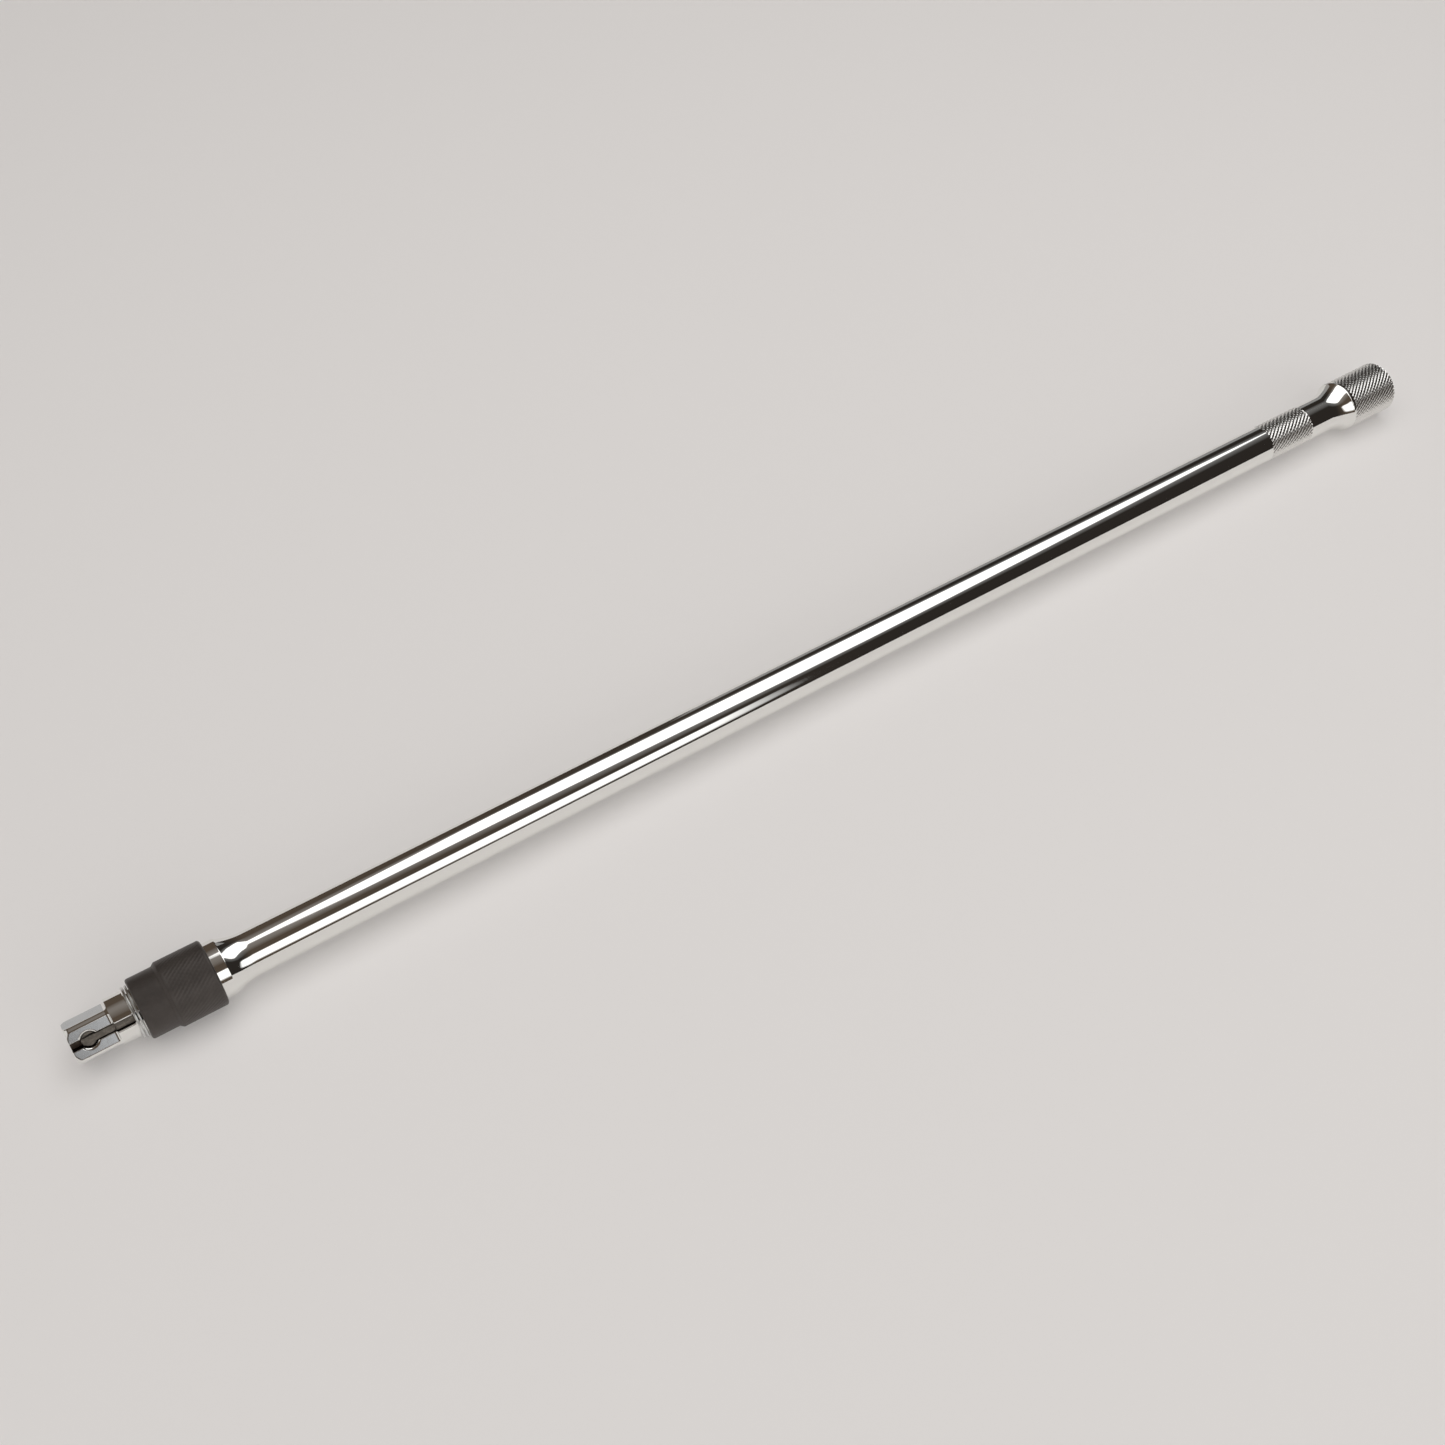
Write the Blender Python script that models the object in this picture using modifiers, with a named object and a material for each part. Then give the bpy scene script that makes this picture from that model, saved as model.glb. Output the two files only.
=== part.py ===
"""Locking socket extension bar, half-inch square drive, 24 inch nominal length.

The bar lies along +X. The origin is the centre of the male drive's tip face, on the bar's axis,
and the female end's rim is at +X. Everything is in metres and +Z is up.

A spring pushes a sliding collar towards the tip. Pulled back, the collar draws the actuator bar
along its groove, and the ramp under the actuator bar lets the lock pin sink into the drive square.
"""

import math

import bmesh
import bpy
from mathutils import Matrix, Vector

MM = 0.001
CLEARANCE = 0.3 * MM  # between any two pieces that touch or slide

# Whole bar
LENGTH = 609.6 * MM
SHAFT_RADIUS = 8.1 * MM
TURNED_SIDES = 48
HALF_SIDE = math.pi / TURNED_SIDES  # turns a facet, not an edge, straight down

# Male drive square, turned about the bar's axis so that its groove faces -Y and up
DRIVE_WIDTH = 12.7 * MM
DRIVE_LENGTH = 14.3 * MM
DRIVE_CORNER_RADIUS = 8.2 * MM
DRIVE_STEP = 0.3 * MM
DRIVE_GROOVE_ELEVATION = math.radians(39.5)
TIP_CHAMFER = 1.0 * MM
SHANK_RADIUS = 8.35 * MM

# Neck behind the shank, and the flare from it down to the shaft
NECK_START = 44.5 * MM
NECK_END = 53.9 * MM
NECK_RADIUS = 10.3 * MM
NECK_FLARE_END = 63.3 * MM

# Female end
FEMALE_FLARE_START = 573.8 * MM
FEMALE_FLARE_END = 584.2 * MM
FEMALE_FLARE_CROWN = 0.5 * MM
FEMALE_RADIUS = 11.18 * MM
FEMALE_RIM_CHAMFER = 0.3 * MM
SOCKET_WIDTH = 12.9 * MM
SOCKET_DEPTH = 17.0 * MM
SOCKET_LEAD_IN = 0.8 * MM
DETENT_FROM_RIM = 8.2 * MM
DETENT_SPHERE_RADIUS = 2.9 * MM
DETENT_DEPTH = 1.1 * MM

# Travel of the collar and of the lock pin
COLLAR_TRAVEL = 4.4 * MM
RAMP_RATIO = 0.36  # pin travel for each unit of collar travel

# Actuator bar and its groove. Heights are above the bar's axis, along the groove face's normal.
ACTUATOR_WIDTH = 2.3 * MM
GROOVE_WIDTH = 2.9 * MM
GROOVE_FLOOR = 3.0 * MM
ACTUATOR_TIP = 3.85 * MM
ACTUATOR_TIP_THICKNESS = 0.7 * MM
ACTUATOR_LOW_TOP = 5.9 * MM
ACTUATOR_HIGH_TOP = 6.9 * MM
ACTUATOR_TAB_TOP = 10.1 * MM
ACTUATOR_TAB_START = 28.9 * MM
ACTUATOR_TAB_THICKNESS = 1.6 * MM

# Lock pin, across the drive square
PIN_X = 6.16 * MM
PIN_RADIUS = 2.6 * MM
PIN_NOSE_RADIUS = 2.3 * MM
PIN_TOP = 4.6 * MM
PIN_SHOULDER = -3.9 * MM
PIN_PROTRUSION = 1.5 * MM
PIN_BORE_CHAMFER = 0.5 * MM

# Retaining ring and thrust washer in front of the collar
RING_START = 21.2 * MM
RING_THICKNESS = 0.9 * MM
RING_RADIUS = 9.2 * MM
RING_GROOVE_RADIUS = 7.2 * MM
RING_GAP_WIDTH = 3.0 * MM
RING_EDGE = 0.2 * MM
THRUST_WASHER_THICKNESS = 0.8 * MM
THRUST_WASHER_RADIUS = 9.3 * MM

# Collar
COLLAR_START = RING_START + RING_THICKNESS + THRUST_WASHER_THICKNESS + 2 * CLEARANCE
COLLAR_END = 50.0 * MM
COLLAR_FRONT_RADIUS = 10.95 * MM
COLLAR_REAR_RADIUS = 11.94 * MM
COLLAR_RAMP_START = 32.9 * MM
COLLAR_RAMP_END = 33.9 * MM
COLLAR_STEP = ACTUATOR_TAB_START - CLEARANCE
COLLAR_BORE_RADIUS = NECK_RADIUS + 0.25 * MM
COLLAR_EDGE_RADIUS = 0.8 * MM

# Spring and the washer between it and the actuator bar's tab
SPRING_WASHER_START = ACTUATOR_TAB_START + ACTUATOR_TAB_THICKNESS + CLEARANCE
SPRING_WASHER_THICKNESS = 0.8 * MM
SPRING_WASHER_RADIUS = 10.2 * MM
SPRING_WIRE = 1.3 * MM
SPRING_MEAN_RADIUS = 9.4 * MM
SPRING_TURNS = 5.5
SPRING_END_TURNS = 0.75
SPRING_POINTS_PER_TURN = 20


def clear_scene():
    for old in list(bpy.data.objects):
        bpy.data.objects.remove(old, do_unlink=True)


def new_collection(name, hidden=False):
    made = bpy.data.collections.new(name)
    made.hide_render = hidden
    bpy.context.scene.collection.children.link(made)
    return made


def new_material(name, colour, roughness, metallic):
    material = bpy.data.materials.new(name)
    material.use_nodes = True
    shader = material.node_tree.nodes["Principled BSDF"]
    shader.inputs["Base Color"].default_value = (*colour, 1.0)
    shader.inputs["Roughness"].default_value = roughness
    shader.inputs["Metallic"].default_value = metallic
    return material


def new_object(name, mesh, collection, parent=None, material=None):
    made = bpy.data.objects.new(name, mesh)
    collection.objects.link(made)
    made.parent = parent
    if material:
        mesh.materials.append(material)
    return made


def new_cutter(name, mesh, parent=None):
    cutter = new_object(name, mesh, cutters, parent)
    cutter.hide_render = True
    cutter.display_type = "WIRE"
    return cutter


def box_mesh(name, low, high, turn=None):
    """A box between two corners, then turned by the matrix."""
    low = Vector(low)
    high = Vector(high)
    shape = bmesh.new()
    bmesh.ops.create_cube(shape, size=1.0)
    bmesh.ops.scale(shape, vec=high - low, verts=shape.verts)
    bmesh.ops.translate(shape, vec=(low + high) / 2, verts=shape.verts)
    if turn:
        bmesh.ops.transform(shape, matrix=turn, verts=shape.verts)
    mesh = bpy.data.meshes.new(name)
    shape.to_mesh(mesh)
    shape.free()
    return mesh


def cone_mesh(name, low_radius, high_radius, low, high, sides, turn=None):
    """A cone or cylinder along +Z from low to high, then turned by the matrix."""
    shape = bmesh.new()
    bmesh.ops.create_cone(
        shape,
        cap_ends=True,
        segments=sides,
        radius1=low_radius,
        radius2=high_radius,
        depth=high - low,
    )
    bmesh.ops.translate(shape, vec=(0, 0, (low + high) / 2), verts=shape.verts)
    if turn:
        bmesh.ops.transform(shape, matrix=turn, verts=shape.verts)
    mesh = bpy.data.meshes.new(name)
    shape.to_mesh(mesh)
    shape.free()
    return mesh


def cut(target, cutter):
    modifier = target.modifiers.new("cut_" + cutter.name, "BOOLEAN")
    modifier.operation = "DIFFERENCE"
    modifier.solver = "EXACT"
    modifier.object = cutter


def arc(centre, radius, start, end, steps):
    """Points of an arc in the (x, radius) plane. Angles are in degrees from +X towards +R."""
    points = []
    for i in range(steps + 1):
        angle = math.radians(start + (end - start) * i / steps)
        points.append((centre[0] + radius * math.cos(angle), centre[1] + radius * math.sin(angle)))
    return points


def turned(name, profile, material, closed, axis="X", parent=None):
    """Turns a profile of (along, radius) points, high to low, about the axis: a cutter if bare."""
    shape = bmesh.new()
    if axis == "X":
        points = [shape.verts.new((along, 0, radius)) for along, radius in profile]
    else:
        points = [shape.verts.new((radius, 0, along)) for along, radius in profile]
    for first, second in zip(points, points[1:]):
        shape.edges.new((first, second))
    if closed:
        shape.edges.new((points[-1], points[0]))
    mesh = bpy.data.meshes.new(name)
    shape.to_mesh(mesh)
    shape.free()
    made = new_object(name, mesh, parts, parent, material) if material else new_cutter(name, mesh, parent)
    if axis == "X":
        made.rotation_euler = (HALF_SIDE, 0, 0)
    screw = made.modifiers.new("turn", "SCREW")
    screw.axis = axis
    screw.steps = TURNED_SIDES
    screw.render_steps = TURNED_SIDES
    screw.use_merge_vertices = True
    screw.merge_threshold = 0.00001
    screw.use_smooth_shade = True
    return made


def washer_profile(start, thickness, inner, outer, edge):
    """A flat ring's section with its two outer edges eased, from its rear face forwards."""
    end = start + thickness
    return [
        (end, inner),
        (end, outer - edge),
        (end - edge, outer),
        (start + edge, outer),
        (start, outer - edge),
        (start, inner),
    ]


def neck_flare_points():
    """The concave arc from the shaft up to the neck's sharp edge, from rear to front."""
    rise = NECK_RADIUS - SHAFT_RADIUS
    run = NECK_FLARE_END - NECK_END
    sweep = 2 * math.atan2(rise, run)
    radius = run / math.sin(sweep)
    centre = (NECK_FLARE_END, SHAFT_RADIUS + radius)
    return arc(centre, radius, -90, -90 - math.degrees(sweep), 7)


def female_flare_points():
    """Hollow arc with a small crown at its top, from the female end down to the shaft."""
    rise = FEMALE_RADIUS - SHAFT_RADIUS
    run = FEMALE_FLARE_END - FEMALE_FLARE_START
    slope = 2 * math.atan2(rise, run)
    crown = FEMALE_FLARE_CROWN
    hollow = run / math.sin(slope) - crown
    steep = math.degrees(slope)
    top = arc((FEMALE_FLARE_END, FEMALE_RADIUS - crown), crown, 90, 90 + steep, 2)
    bottom = arc((FEMALE_FLARE_START, SHAFT_RADIUS + hollow), hollow, -90 + steep, -90, 7)
    return top + bottom[1:]


def extension_bar_profile():
    """Outer outline of the forging, from the centre of the rear face to the centre of the tip."""
    groove_start = RING_START - CLEARANCE
    groove_end = RING_START + RING_THICKNESS + CLEARANCE
    rear = [
        (LENGTH, 0),
        (LENGTH, FEMALE_RADIUS - FEMALE_RIM_CHAMFER),
        (LENGTH - FEMALE_RIM_CHAMFER, FEMALE_RADIUS),
    ]
    front = [
        (NECK_START, NECK_RADIUS),
        (NECK_START, SHANK_RADIUS),
        (groove_end, SHANK_RADIUS),
        (groove_end, RING_GROOVE_RADIUS),
        (groove_start, RING_GROOVE_RADIUS),
        (groove_start, SHANK_RADIUS),
        (DRIVE_LENGTH + 2 * DRIVE_STEP, SHANK_RADIUS),
        (DRIVE_LENGTH + DRIVE_STEP, DRIVE_CORNER_RADIUS),
        (TIP_CHAMFER, DRIVE_CORNER_RADIUS),
        (0, DRIVE_CORNER_RADIUS - TIP_CHAMFER),
        (0, 0),
    ]
    return rear + female_flare_points() + neck_flare_points() + front


def cut_drive_square(bar, drive_frame):
    """Four flats, each with a chamfer where the socket slides on."""
    half = DRIVE_WIDTH / 2
    far = 2 * DRIVE_WIDTH
    for i in range(4):
        quarter = Matrix.Rotation(i * math.pi / 2, 4, "X")
        flat = box_mesh("flat", (-far, -far, half), (DRIVE_LENGTH, far, far), quarter)
        cut(bar, new_cutter(f"drive_flat_{i + 1}", flat, drive_frame))
        lean = Matrix.Translation((0, 0, half - 0.6 * TIP_CHAMFER))
        lean = lean @ Matrix.Rotation(math.radians(-30), 4, "Y")
        chamfer = box_mesh("chamfer", (-far, -far, 0), (far / 2, far, far), quarter @ lean)
        cut(bar, new_cutter(f"drive_lead_in_{i + 1}", chamfer, drive_frame))


def cut_actuator_groove(bar, drive_frame):
    half = GROOVE_WIDTH / 2
    end = ACTUATOR_TAB_START + ACTUATOR_TAB_THICKNESS + COLLAR_TRAVEL + CLEARANCE
    groove = box_mesh("groove", (-5 * MM, -half, GROOVE_FLOOR), (end, half, 20 * MM))
    cut(bar, new_cutter("actuator_groove", groove, drive_frame))


def cut_pin_bore(bar, pin_frame):
    """A wide bore with a chamfered mouth on the groove's side, and a narrower hole for the nose."""
    face = DRIVE_WIDTH / 2
    wide = PIN_RADIUS + CLEARANCE
    narrow = PIN_NOSE_RADIUS + CLEARANCE
    seat = PIN_SHOULDER - CLEARANCE
    reach = 1 * MM  # how far the cutter stands out of each face
    profile = [
        (face + reach, 0),
        (face + reach, wide + PIN_BORE_CHAMFER + reach),
        (face - PIN_BORE_CHAMFER, wide),
        (seat, wide),
        (seat, narrow),
        (-face - reach, narrow),
        (-face - reach, 0),
    ]
    cut(bar, turned("pin_bore", profile, None, closed=False, axis="Z", parent=pin_frame))


def cut_female_socket(bar):
    """The square recess, its lead-in and one detent in each wall."""
    half = SOCKET_WIDTH / 2
    floor = LENGTH - SOCKET_DEPTH
    recess = box_mesh("recess", (floor, -half, -half), (LENGTH + 5 * MM, half, half))
    cut(bar, new_cutter("female_square", recess))
    along_x = Matrix.Rotation(math.radians(90), 4, "Y")
    square_up = Matrix.Rotation(math.radians(45), 4, "Z")
    reach = 1 * MM  # the four-sided cone runs this far into the recess and out of the rim
    lead_in = cone_mesh(
        "lead_in",
        math.sqrt(2) * (half - reach),
        math.sqrt(2) * (half + SOCKET_LEAD_IN + reach),
        LENGTH - SOCKET_LEAD_IN - reach,
        LENGTH + reach,
        4,
        along_x @ square_up,
    )
    cut(bar, new_cutter("female_lead_in", lead_in))
    for i in range(4):
        shape = bmesh.new()
        bmesh.ops.create_uvsphere(shape, u_segments=16, v_segments=10, radius=DETENT_SPHERE_RADIUS)
        height = half + DETENT_DEPTH - DETENT_SPHERE_RADIUS
        bmesh.ops.translate(shape, vec=(LENGTH - DETENT_FROM_RIM, 0, height), verts=shape.verts)
        quarter = Matrix.Rotation(i * math.pi / 2, 4, "X")
        bmesh.ops.transform(shape, matrix=quarter, verts=shape.verts)
        mesh = bpy.data.meshes.new("detent")
        shape.to_mesh(mesh)
        shape.free()
        cut(bar, new_cutter(f"female_detent_{i + 1}", mesh))


def make_extension_bar(material, drive_frame, pin_frame):
    """The one-piece forging: drive square, shank, neck, shaft and female end."""
    bar = turned("extension_bar", extension_bar_profile(), material, closed=False)
    cut_drive_square(bar, drive_frame)
    cut_actuator_groove(bar, drive_frame)
    cut_pin_bore(bar, pin_frame)
    cut_female_socket(bar)


def make_actuator_bar(material, actuator):
    """A flat blank on edge: thin ramped tongue, low part in the square, high part, upright tab."""
    bottom = GROOVE_FLOOR + CLEARANCE
    tongue_bottom = ACTUATOR_LOW_TOP - ACTUATOR_TIP_THICKNESS
    ramp_end = ACTUATOR_TIP + (tongue_bottom - bottom) / RAMP_RATIO
    step = DRIVE_LENGTH + 0.2 * MM
    tab_end = ACTUATOR_TAB_START + ACTUATOR_TAB_THICKNESS
    outline = [
        (ACTUATOR_TIP, tongue_bottom),
        (ramp_end, bottom),
        (tab_end, bottom),
        (tab_end, ACTUATOR_TAB_TOP),
        (ACTUATOR_TAB_START, ACTUATOR_TAB_TOP),
        (ACTUATOR_TAB_START, ACTUATOR_HIGH_TOP),
        (step + 0.6 * MM, ACTUATOR_HIGH_TOP),
        (step, ACTUATOR_LOW_TOP),
        (ACTUATOR_TIP, ACTUATOR_LOW_TOP),
    ]
    curve = bpy.data.curves.new("actuator_bar", "CURVE")
    curve.dimensions = "2D"
    curve.fill_mode = "BOTH"
    curve.extrude = ACTUATOR_WIDTH / 2
    spline = curve.splines.new("POLY")
    spline.points.add(len(outline) - 1)
    for point, (along, height) in zip(spline.points, outline):
        point.co = (along, height, 0, 1)
    spline.use_cyclic_u = True
    bar = new_object("actuator_bar", curve, parts, actuator, material)
    bar.rotation_euler = (math.radians(90), 0, 0)


def make_lock_pin(material, pin_frame):
    """A round-nosed pin whose forked head straddles the actuator bar above an inclined floor."""
    nose_end = -DRIVE_WIDTH / 2 - PIN_PROTRUSION
    top = PIN_TOP
    edge = 0.3 * MM
    dome = arc((nose_end + PIN_NOSE_RADIUS, 0), PIN_NOSE_RADIUS, 90, 180, 6)
    profile = [
        (top, 0),
        (top, PIN_RADIUS - edge),
        (top - edge, PIN_RADIUS),
        (PIN_SHOULDER, PIN_RADIUS),
        (PIN_SHOULDER, PIN_NOSE_RADIUS),
    ]
    profile += dome[:-1] + [(nose_end, 0)]
    pin = turned("lock_pin", profile, material, closed=False, axis="Z", parent=pin_frame)
    half = ACTUATOR_WIDTH / 2 + CLEARANCE
    tongue_bottom = ACTUATOR_LOW_TOP - ACTUATOR_TIP_THICKNESS
    floor = tongue_bottom - CLEARANCE
    lean = Matrix.Translation((ACTUATOR_TIP - PIN_X, 0, floor))
    lean = lean @ Matrix.Rotation(math.atan(RAMP_RATIO), 4, "Y")
    slot = box_mesh("slot", (-10 * MM, -half, 0), (20 * MM, half, 10 * MM), lean)
    cut(pin, new_cutter("pin_slot", slot, pin_frame))


def make_retaining_ring(material, drive_frame):
    """A snap ring in the shank's groove, with its gap away from the actuator bar."""
    inner = RING_GROOVE_RADIUS + CLEARANCE
    profile = washer_profile(RING_START, RING_THICKNESS, inner, RING_RADIUS, RING_EDGE)
    ring = turned("retaining_ring", profile, material, closed=True, parent=drive_frame)
    half = RING_GAP_WIDTH / 2
    low = (RING_START - 1 * MM, -half, -15 * MM)
    high = (RING_START + 2 * MM, half, 0)
    cut(ring, new_cutter("ring_gap", box_mesh("gap", low, high), drive_frame))


def make_thrust_washer(material):
    start = RING_START + RING_THICKNESS + CLEARANCE
    inner = SHANK_RADIUS + CLEARANCE
    profile = washer_profile(start, THRUST_WASHER_THICKNESS, inner, THRUST_WASHER_RADIUS, RING_EDGE)
    turned("thrust_washer", profile, material, closed=True)


def make_spring_washer(material, actuator):
    inner = SHANK_RADIUS + CLEARANCE
    profile = washer_profile(
        SPRING_WASHER_START, SPRING_WASHER_THICKNESS, inner, SPRING_WASHER_RADIUS, RING_EDGE
    )
    turned("spring_washer", profile, material, closed=True, parent=actuator)


def make_release_collar(material, actuator):
    """A sleeve with a narrow front bore for the shank and a wide rear bore for the neck."""
    edge = COLLAR_EDGE_RADIUS
    front_bore = SHANK_RADIUS + CLEARANCE
    rear_edge = arc((COLLAR_END - edge, COLLAR_REAR_RADIUS - edge), edge, 0, 90, 4)
    front_edge = arc((COLLAR_START + edge, COLLAR_FRONT_RADIUS - edge), edge, 90, 180, 4)
    profile = [
        (COLLAR_END, COLLAR_BORE_RADIUS),
        *rear_edge,
        (COLLAR_RAMP_END, COLLAR_REAR_RADIUS),
        (COLLAR_RAMP_START, COLLAR_FRONT_RADIUS),
        *front_edge,
        (COLLAR_START, front_bore),
        (COLLAR_STEP, front_bore),
        (COLLAR_STEP, COLLAR_BORE_RADIUS),
    ]
    turned("release_collar", profile, material, closed=True, parent=actuator)


def make_collar_spring(material):
    """A compression spring round the shank, its end turns closed, from the washer to the neck."""
    start = SPRING_WASHER_START + SPRING_WASHER_THICKNESS + CLEARANCE + SPRING_WIRE / 2
    end = NECK_START - CLEARANCE - SPRING_WIRE / 2
    closed_rise = SPRING_END_TURNS * SPRING_WIRE * 1.1
    open_turns = SPRING_TURNS - 2 * SPRING_END_TURNS
    open_rise = end - start - 2 * closed_rise
    curve = bpy.data.curves.new("collar_spring", "CURVE")
    curve.dimensions = "3D"
    curve.bevel_depth = SPRING_WIRE / 2
    curve.bevel_resolution = 2
    curve.use_fill_caps = True
    spline = curve.splines.new("POLY")
    count = round(SPRING_TURNS * SPRING_POINTS_PER_TURN)
    spline.points.add(count)
    for i, point in enumerate(spline.points):
        turn = SPRING_TURNS * i / count
        front = min(turn, SPRING_END_TURNS) / SPRING_END_TURNS
        middle = min(max(turn - SPRING_END_TURNS, 0), open_turns) / open_turns
        rear = max(turn - SPRING_END_TURNS - open_turns, 0) / SPRING_END_TURNS
        along = start + closed_rise * (front + rear) + open_rise * middle
        angle = 2 * math.pi * turn
        across = SPRING_MEAN_RADIUS * math.cos(angle)
        point.co = (along, across, SPRING_MEAN_RADIUS * math.sin(angle), 1)
    new_object("collar_spring", curve, parts, None, material)


def new_frame(name, parent=None, location=(0, 0, 0), rotation=(0, 0, 0)):
    empty = bpy.data.objects.new(name, None)
    parts.objects.link(empty)
    empty.parent = parent
    empty.location = location
    empty.rotation_euler = rotation
    return empty


clear_scene()
parts = new_collection("locking_extension_bar")
cutters = new_collection("cutters", hidden=True)

chrome = new_material("chrome", (0.74, 0.74, 0.73), 0.06, 1.0)
bright_steel = new_material("bright_steel", (0.66, 0.66, 0.65), 0.2, 1.0)
black_oxide = new_material("black_oxide", (0.035, 0.032, 0.03), 0.4, 0.6)
dark_phosphate = new_material("dark_phosphate", (0.055, 0.05, 0.047), 0.62, 0.3)
spring_steel = new_material("spring_steel", (0.3, 0.29, 0.28), 0.35, 1.0)

drive_roll = math.pi / 2 - DRIVE_GROOVE_ELEVATION
drive = new_frame("drive_frame", rotation=(drive_roll, 0, 0))
slide = new_frame("collar_slide_frame")
rolled_slide = new_frame("actuator_frame", parent=slide, rotation=(drive_roll, 0, 0))
pin_slide = new_frame("pin_frame", parent=drive, location=(PIN_X, 0, 0))

make_extension_bar(chrome, drive, pin_slide)
make_retaining_ring(bright_steel, drive)
make_thrust_washer(bright_steel)
make_release_collar(dark_phosphate, slide)
make_actuator_bar(black_oxide, rolled_slide)
make_spring_washer(bright_steel, slide)
make_collar_spring(spring_steel)
make_lock_pin(black_oxide, pin_slide)
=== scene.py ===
import math

import bpy
import numpy as np
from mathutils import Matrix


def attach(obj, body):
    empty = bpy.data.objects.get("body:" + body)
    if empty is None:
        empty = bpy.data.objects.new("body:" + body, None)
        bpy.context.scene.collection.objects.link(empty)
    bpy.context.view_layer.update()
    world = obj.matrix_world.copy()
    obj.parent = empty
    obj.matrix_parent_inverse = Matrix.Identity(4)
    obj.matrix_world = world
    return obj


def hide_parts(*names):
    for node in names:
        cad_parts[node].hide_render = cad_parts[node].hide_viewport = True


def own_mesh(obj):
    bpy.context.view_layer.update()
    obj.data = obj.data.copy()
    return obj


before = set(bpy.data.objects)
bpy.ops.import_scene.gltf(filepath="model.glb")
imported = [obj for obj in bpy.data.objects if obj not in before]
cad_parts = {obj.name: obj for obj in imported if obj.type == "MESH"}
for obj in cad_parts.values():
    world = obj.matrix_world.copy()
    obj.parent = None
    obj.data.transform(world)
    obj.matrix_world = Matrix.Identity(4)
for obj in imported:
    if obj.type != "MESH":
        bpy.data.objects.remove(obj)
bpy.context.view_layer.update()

mm = 0.001


# sRGB hex to linear light: below 0.04045 divide by 12.92, above it ((c + 0.055) / 1.055) ^ 2.4
def linearColour(hexCode):
    levels = np.array([int(hexCode[i:i + 2], 16) for i in (1, 3, 5)]) / 255
    linear = np.where(levels <= 0.04045, levels / 12.92, ((levels + 0.055) / 1.055) ** 2.4)
    return (*linear.tolist(), 1.0)


# adds one node, sets its fields and inputs, and links inputs given as (node, output)
def addNode(tree, kind, fields=None, **inputs):
    node = tree.nodes.new(kind)
    for field, value in (fields or {}).items():
        setattr(node, field, value)
    for name, value in inputs.items():
        isNumbered = name[1:].isdigit()    # i6 is input 6, Base_Color is the input of that name
        socket = node.inputs[int(name[1:]) if isNumbered else name.replace("_", " ")]
        if isinstance(value, tuple) and isinstance(value[0], bpy.types.Node):
            tree.links.new(value[0].outputs[value[1]], socket)
        else:
            socket.default_value = value
    return node


# an empty material with its shader and output joined
def newMaterial(name, **shaderInputs):
    material = bpy.data.materials.new(name)
    material.use_nodes = True
    tree = material.node_tree
    tree.nodes.clear()
    shader = addNode(tree, "ShaderNodeBsdfPrincipled", **shaderInputs)
    addNode(tree, "ShaderNodeOutputMaterial", Surface=(shader, "BSDF"))
    return material, tree, shader


# mottling in the piece's own coordinates, with patches of the given size in millimetres
def patches(tree, sizeMm, detail, roughness=0.5, distortion=0.0):
    coords = addNode(tree, "ShaderNodeTexCoord")
    return addNode(
        tree, "ShaderNodeTexNoise", Vector=(coords, "Object"), Scale=1 / (sizeMm * mm),
        Detail=detail, Roughness=roughness, Distortion=distortion,
    )


# roughness runs from one value to the other as the mottling passes through its own range
def varyRoughness(tree, shader, pattern, patternRange, roughness):
    rough = addNode(
        tree, "ShaderNodeMapRange", Value=(pattern, "Fac"), From_Min=patternRange[0],
        From_Max=patternRange[1], To_Min=roughness[0], To_Max=roughness[1],
    )
    tree.links.new(rough.outputs["Result"], shader.inputs["Roughness"])


# base colour mixed from dark to light by the given (node, output)
def varyColour(tree, shader, amount, dark, light):
    tone = addNode(
        tree, "ShaderNodeMix", {"data_type": "RGBA"}, Factor=amount,
        i6=linearColour(dark), i7=linearColour(light),
    )
    tree.links.new(tone.outputs[2], shader.inputs["Base Color"])


# the mottling as relief, its height in millimetres
def addRelief(tree, shader, pattern, strength, heightMm):
    bump = addNode(
        tree, "ShaderNodeBump", Height=(pattern, "Fac"), Strength=strength, Distance=heightMm * mm
    )
    tree.links.new(bump.outputs["Normal"], shader.inputs["Normal"])


# steps from start to end with the given count, both ends included
def steps(start, end, count):
    return np.linspace(start, end, count)


# a corner of an outline becomes an arc of the given radius: the tangent points lie
# radius * tan(turn / 2) from the corner, and the arc sweeps the turn between the two sides
def roundedOutline(corners, radii, arcSteps, closed):
    corners = np.asarray(corners, float)
    radii = np.broadcast_to(np.asarray(radii, float), len(corners))
    before, after = np.roll(corners, 1, 0), np.roll(corners, -1, 0)
    parts = []
    for index, (corner, radius) in enumerate(zip(corners, radii)):
        isEnd = not closed and index in (0, len(corners) - 1)
        if isEnd or radius <= 0:
            parts.append(corner[None])
            continue
        inDir, outDir = corner - before[index], after[index] - corner
        inDir, outDir = inDir / np.linalg.norm(inDir), outDir / np.linalg.norm(outDir)
        side = inDir[0] * outDir[1] - inDir[1] * outDir[0]
        turn = math.atan2(side, inDir @ outDir)
        if abs(turn) < 1e-6:
            parts.append(corner[None])
            continue
        reach = radius * math.tan(abs(turn) / 2)
        start = corner - inDir * reach
        normal = np.sign(turn) * np.array([-inDir[1], inDir[0]])
        centre = start + normal * radius
        sweep = steps(0, turn, arcSteps)[:, None]
        spoke = start - centre
        turned = np.array([-spoke[1], spoke[0]])
        parts.append(centre + spoke * np.cos(sweep) + turned * np.sin(sweep))
    return np.concatenate(parts)


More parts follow.
